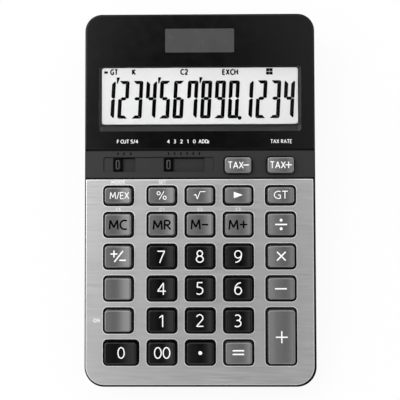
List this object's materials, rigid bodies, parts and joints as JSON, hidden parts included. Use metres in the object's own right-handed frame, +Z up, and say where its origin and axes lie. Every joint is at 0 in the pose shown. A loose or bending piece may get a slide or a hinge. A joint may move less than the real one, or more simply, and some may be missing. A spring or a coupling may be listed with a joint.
{
  "type": "desk calculator",
  "caption": "Wedge-shaped desk calculator with a wide liquid-crystal display, a solar cell, sprung keys and slide switches for rounding and decimals.",
  "frame": {"origin": "on the desk, under the middle of the case's outline", "axes": "+X to the user's right, +Y away from the user along the case's length, +Z up from the desk"},
  "size_m": [0.109, 0.1756, 0.0284],
  "materials": {
    "case_plastic": "fine-grained moulded black plastic",
    "display_panel": "polished black panel",
    "clear_window": "clear acrylic",
    "solar_window": "tinted acrylic",
    "switch_plate": "dark satin paint, faintly brushed",
    "brushed_plate": "brushed and anodised, polished edge",
    "bezel": "satin dark grey",
    "lcd_glass": "pale reflective polariser",
    "contact_rubber": "silicone strip",
    "solar_cell": "amorphous silicon on glass",
    "wire": "insulated wire",
    "board": "green solder mask",
    "mat_rubber": "translucent silicone",
    "chip_resin": "black resin",
    "components": "component cases",
    "screw_steel": "plated",
    "cell_steel": "nickel plated",
    "contact_spring": "sprung strip",
    "foot_rubber": "matte black",
    "knob": "satin black",
    "digit_key": "satin black with white figures",
    "grey_key": "satin mid grey with printed symbols"
  },
  "bodies": {
    "case": {"rear_cover": "case_plastic", "upper_case": "case_plastic", "display_panel": "display_panel", "display_window": "clear_window", "solar_window": "solar_window", "switch_plate": "switch_plate", "keypad_plate": "brushed_plate", "lcd_bezel": "bezel", "lcd_module": "lcd_glass", "lcd_connectors": "contact_rubber", "solar_cell": "solar_cell", "solar_leads": "wire", "circuit_board": "board", "key_mat": "mat_rubber", "controller_chip": "chip_resin", "board_components": "components", "board_screws": "screw_steel", "case_screws": "screw_steel", "battery_hatch": "case_plastic", "hatch_screw": "screw_steel", "coin_cell": "cell_steel", "battery_plus_contact": "contact_spring", "battery_minus_contact": "contact_spring", "battery_leads": "wire", "rubber_feet": "foot_rubber"},
    "rounding_slider": {"rounding_knob": "knob", "rounding_wiper": "contact_spring"},
    "decimal_slider": {"decimal_knob": "knob", "decimal_wiper": "contact_spring"},
    "key_tax_minus": {"key_tax_minus": "grey_key"},
    "key_tax_plus": {"key_tax_plus": "grey_key"},
    "key_exchange": {"key_exchange": "grey_key"},
    "key_percent": {"key_percent": "grey_key"},
    "key_root": {"key_root": "grey_key"},
    "key_backspace": {"key_backspace": "grey_key"},
    "key_grand_total": {"key_grand_total": "grey_key"},
    "key_memory_clear": {"key_memory_clear": "grey_key"},
    "key_memory_recall": {"key_memory_recall": "grey_key"},
    "key_memory_minus": {"key_memory_minus": "grey_key"},
    "key_memory_plus": {"key_memory_plus": "grey_key"},
    "key_divide": {"key_divide": "grey_key"},
    "key_sign": {"key_sign": "grey_key"},
    "key_7": {"key_7": "digit_key"},
    "key_8": {"key_8": "digit_key"},
    "key_9": {"key_9": "digit_key"},
    "key_multiply": {"key_multiply": "grey_key"},
    "key_clear": {"key_clear": "grey_key"},
    "key_4": {"key_4": "digit_key"},
    "key_5": {"key_5": "digit_key"},
    "key_6": {"key_6": "digit_key"},
    "key_subtract": {"key_subtract": "grey_key"},
    "key_all_clear": {"key_all_clear": "grey_key"},
    "key_1": {"key_1": "digit_key"},
    "key_2": {"key_2": "digit_key"},
    "key_3": {"key_3": "digit_key"},
    "key_0": {"key_0": "digit_key"},
    "key_00": {"key_00": "digit_key"},
    "key_point": {"key_point": "digit_key"},
    "key_equals": {"key_equals": "grey_key"},
    "key_add": {"key_add": "grey_key"}
  },
  "joints": [
    {"name": "rounding_slide", "type": "slide", "parent": "case", "child": "rounding_slider", "axis": [1, 0, 0], "range_m": [0, 0.0059]},
    {"name": "decimal_slide", "type": "slide", "parent": "case", "child": "decimal_slider", "axis": [1, 0, 0], "range_m": [0, 0.01475]},
    {"name": "key_tax_minus_press", "type": "slide", "parent": "case", "child": "key_tax_minus", "axis": [0, 0.0872, -0.9962], "range_m": [0, 0.0015], "stiffness_N_per_m": 400, "springref_m": -0.0004},
    {"name": "key_tax_plus_press", "type": "slide", "parent": "case", "child": "key_tax_plus", "axis": [0, 0.0872, -0.9962], "range_m": [0, 0.0015], "stiffness_N_per_m": 400, "springref_m": -0.0004},
    {"name": "key_exchange_press", "type": "slide", "parent": "case", "child": "key_exchange", "axis": [0, 0.0872, -0.9962], "range_m": [0, 0.0015], "stiffness_N_per_m": 400, "springref_m": -0.0004},
    {"name": "key_percent_press", "type": "slide", "parent": "case", "child": "key_percent", "axis": [0, 0.0872, -0.9962], "range_m": [0, 0.0015], "stiffness_N_per_m": 400, "springref_m": -0.0004},
    {"name": "key_root_press", "type": "slide", "parent": "case", "child": "key_root", "axis": [0, 0.0872, -0.9962], "range_m": [0, 0.0015], "stiffness_N_per_m": 400, "springref_m": -0.0004},
    {"name": "key_backspace_press", "type": "slide", "parent": "case", "child": "key_backspace", "axis": [0, 0.0872, -0.9962], "range_m": [0, 0.0015], "stiffness_N_per_m": 400, "springref_m": -0.0004},
    {"name": "key_grand_total_press", "type": "slide", "parent": "case", "child": "key_grand_total", "axis": [0, 0.0872, -0.9962], "range_m": [0, 0.0015], "stiffness_N_per_m": 400, "springref_m": -0.0004},
    {"name": "key_memory_clear_press", "type": "slide", "parent": "case", "child": "key_memory_clear", "axis": [0, 0.0872, -0.9962], "range_m": [0, 0.0015], "stiffness_N_per_m": 400, "springref_m": -0.0004},
    {"name": "key_memory_recall_press", "type": "slide", "parent": "case", "child": "key_memory_recall", "axis": [0, 0.0872, -0.9962], "range_m": [0, 0.0015], "stiffness_N_per_m": 400, "springref_m": -0.0004},
    {"name": "key_memory_minus_press", "type": "slide", "parent": "case", "child": "key_memory_minus", "axis": [0, 0.0872, -0.9962], "range_m": [0, 0.0015], "stiffness_N_per_m": 400, "springref_m": -0.0004},
    {"name": "key_memory_plus_press", "type": "slide", "parent": "case", "child": "key_memory_plus", "axis": [0, 0.0872, -0.9962], "range_m": [0, 0.0015], "stiffness_N_per_m": 400, "springref_m": -0.0004},
    {"name": "key_divide_press", "type": "slide", "parent": "case", "child": "key_divide", "axis": [0, 0.0872, -0.9962], "range_m": [0, 0.0015], "stiffness_N_per_m": 400, "springref_m": -0.0004},
    {"name": "key_sign_press", "type": "slide", "parent": "case", "child": "key_sign", "axis": [0, 0.0872, -0.9962], "range_m": [0, 0.0015], "stiffness_N_per_m": 400, "springref_m": -0.0004},
    {"name": "key_7_press", "type": "slide", "parent": "case", "child": "key_7", "axis": [0, 0.0872, -0.9962], "range_m": [0, 0.0015], "stiffness_N_per_m": 400, "springref_m": -0.0004},
    {"name": "key_8_press", "type": "slide", "parent": "case", "child": "key_8", "axis": [0, 0.0872, -0.9962], "range_m": [0, 0.0015], "stiffness_N_per_m": 400, "springref_m": -0.0004},
    {"name": "key_9_press", "type": "slide", "parent": "case", "child": "key_9", "axis": [0, 0.0872, -0.9962], "range_m": [0, 0.0015], "stiffness_N_per_m": 400, "springref_m": -0.0004},
    {"name": "key_multiply_press", "type": "slide", "parent": "case", "child": "key_multiply", "axis": [0, 0.0872, -0.9962], "range_m": [0, 0.0015], "stiffness_N_per_m": 400, "springref_m": -0.0004},
    {"name": "key_clear_press", "type": "slide", "parent": "case", "child": "key_clear", "axis": [0, 0.0872, -0.9962], "range_m": [0, 0.0015], "stiffness_N_per_m": 400, "springref_m": -0.0004},
    {"name": "key_4_press", "type": "slide", "parent": "case", "child": "key_4", "axis": [0, 0.0872, -0.9962], "range_m": [0, 0.0015], "stiffness_N_per_m": 400, "springref_m": -0.0004},
    {"name": "key_5_press", "type": "slide", "parent": "case", "child": "key_5", "axis": [0, 0.0872, -0.9962], "range_m": [0, 0.0015], "stiffness_N_per_m": 400, "springref_m": -0.0004},
    {"name": "key_6_press", "type": "slide", "parent": "case", "child": "key_6", "axis": [0, 0.0872, -0.9962], "range_m": [0, 0.0015], "stiffness_N_per_m": 400, "springref_m": -0.0004},
    {"name": "key_subtract_press", "type": "slide", "parent": "case", "child": "key_subtract", "axis": [0, 0.0872, -0.9962], "range_m": [0, 0.0015], "stiffness_N_per_m": 400, "springref_m": -0.0004},
    {"name": "key_all_clear_press", "type": "slide", "parent": "case", "child": "key_all_clear", "axis": [0, 0.0872, -0.9962], "range_m": [0, 0.0015], "stiffness_N_per_m": 400, "springref_m": -0.0004},
    {"name": "key_1_press", "type": "slide", "parent": "case", "child": "key_1", "axis": [0, 0.0872, -0.9962], "range_m": [0, 0.0015], "stiffness_N_per_m": 400, "springref_m": -0.0004},
    {"name": "key_2_press", "type": "slide", "parent": "case", "child": "key_2", "axis": [0, 0.0872, -0.9962], "range_m": [0, 0.0015], "stiffness_N_per_m": 400, "springref_m": -0.0004},
    {"name": "key_3_press", "type": "slide", "parent": "case", "child": "key_3", "axis": [0, 0.0872, -0.9962], "range_m": [0, 0.0015], "stiffness_N_per_m": 400, "springref_m": -0.0004},
    {"name": "key_0_press", "type": "slide", "parent": "case", "child": "key_0", "axis": [0, 0.0872, -0.9962], "range_m": [0, 0.0015], "stiffness_N_per_m": 400, "springref_m": -0.0004},
    {"name": "key_00_press", "type": "slide", "parent": "case", "child": "key_00", "axis": [0, 0.0872, -0.9962], "range_m": [0, 0.0015], "stiffness_N_per_m": 400, "springref_m": -0.0004},
    {"name": "key_point_press", "type": "slide", "parent": "case", "child": "key_point", "axis": [0, 0.0872, -0.9962], "range_m": [0, 0.0015], "stiffness_N_per_m": 400, "springref_m": -0.0004},
    {"name": "key_equals_press", "type": "slide", "parent": "case", "child": "key_equals", "axis": [0, 0.0872, -0.9962], "range_m": [0, 0.0015], "stiffness_N_per_m": 400, "springref_m": -0.0004},
    {"name": "key_add_press", "type": "slide", "parent": "case", "child": "key_add", "axis": [0, 0.0872, -0.9962], "range_m": [0, 0.0015], "stiffness_N_per_m": 400, "springref_m": -0.0004}
  ]
}
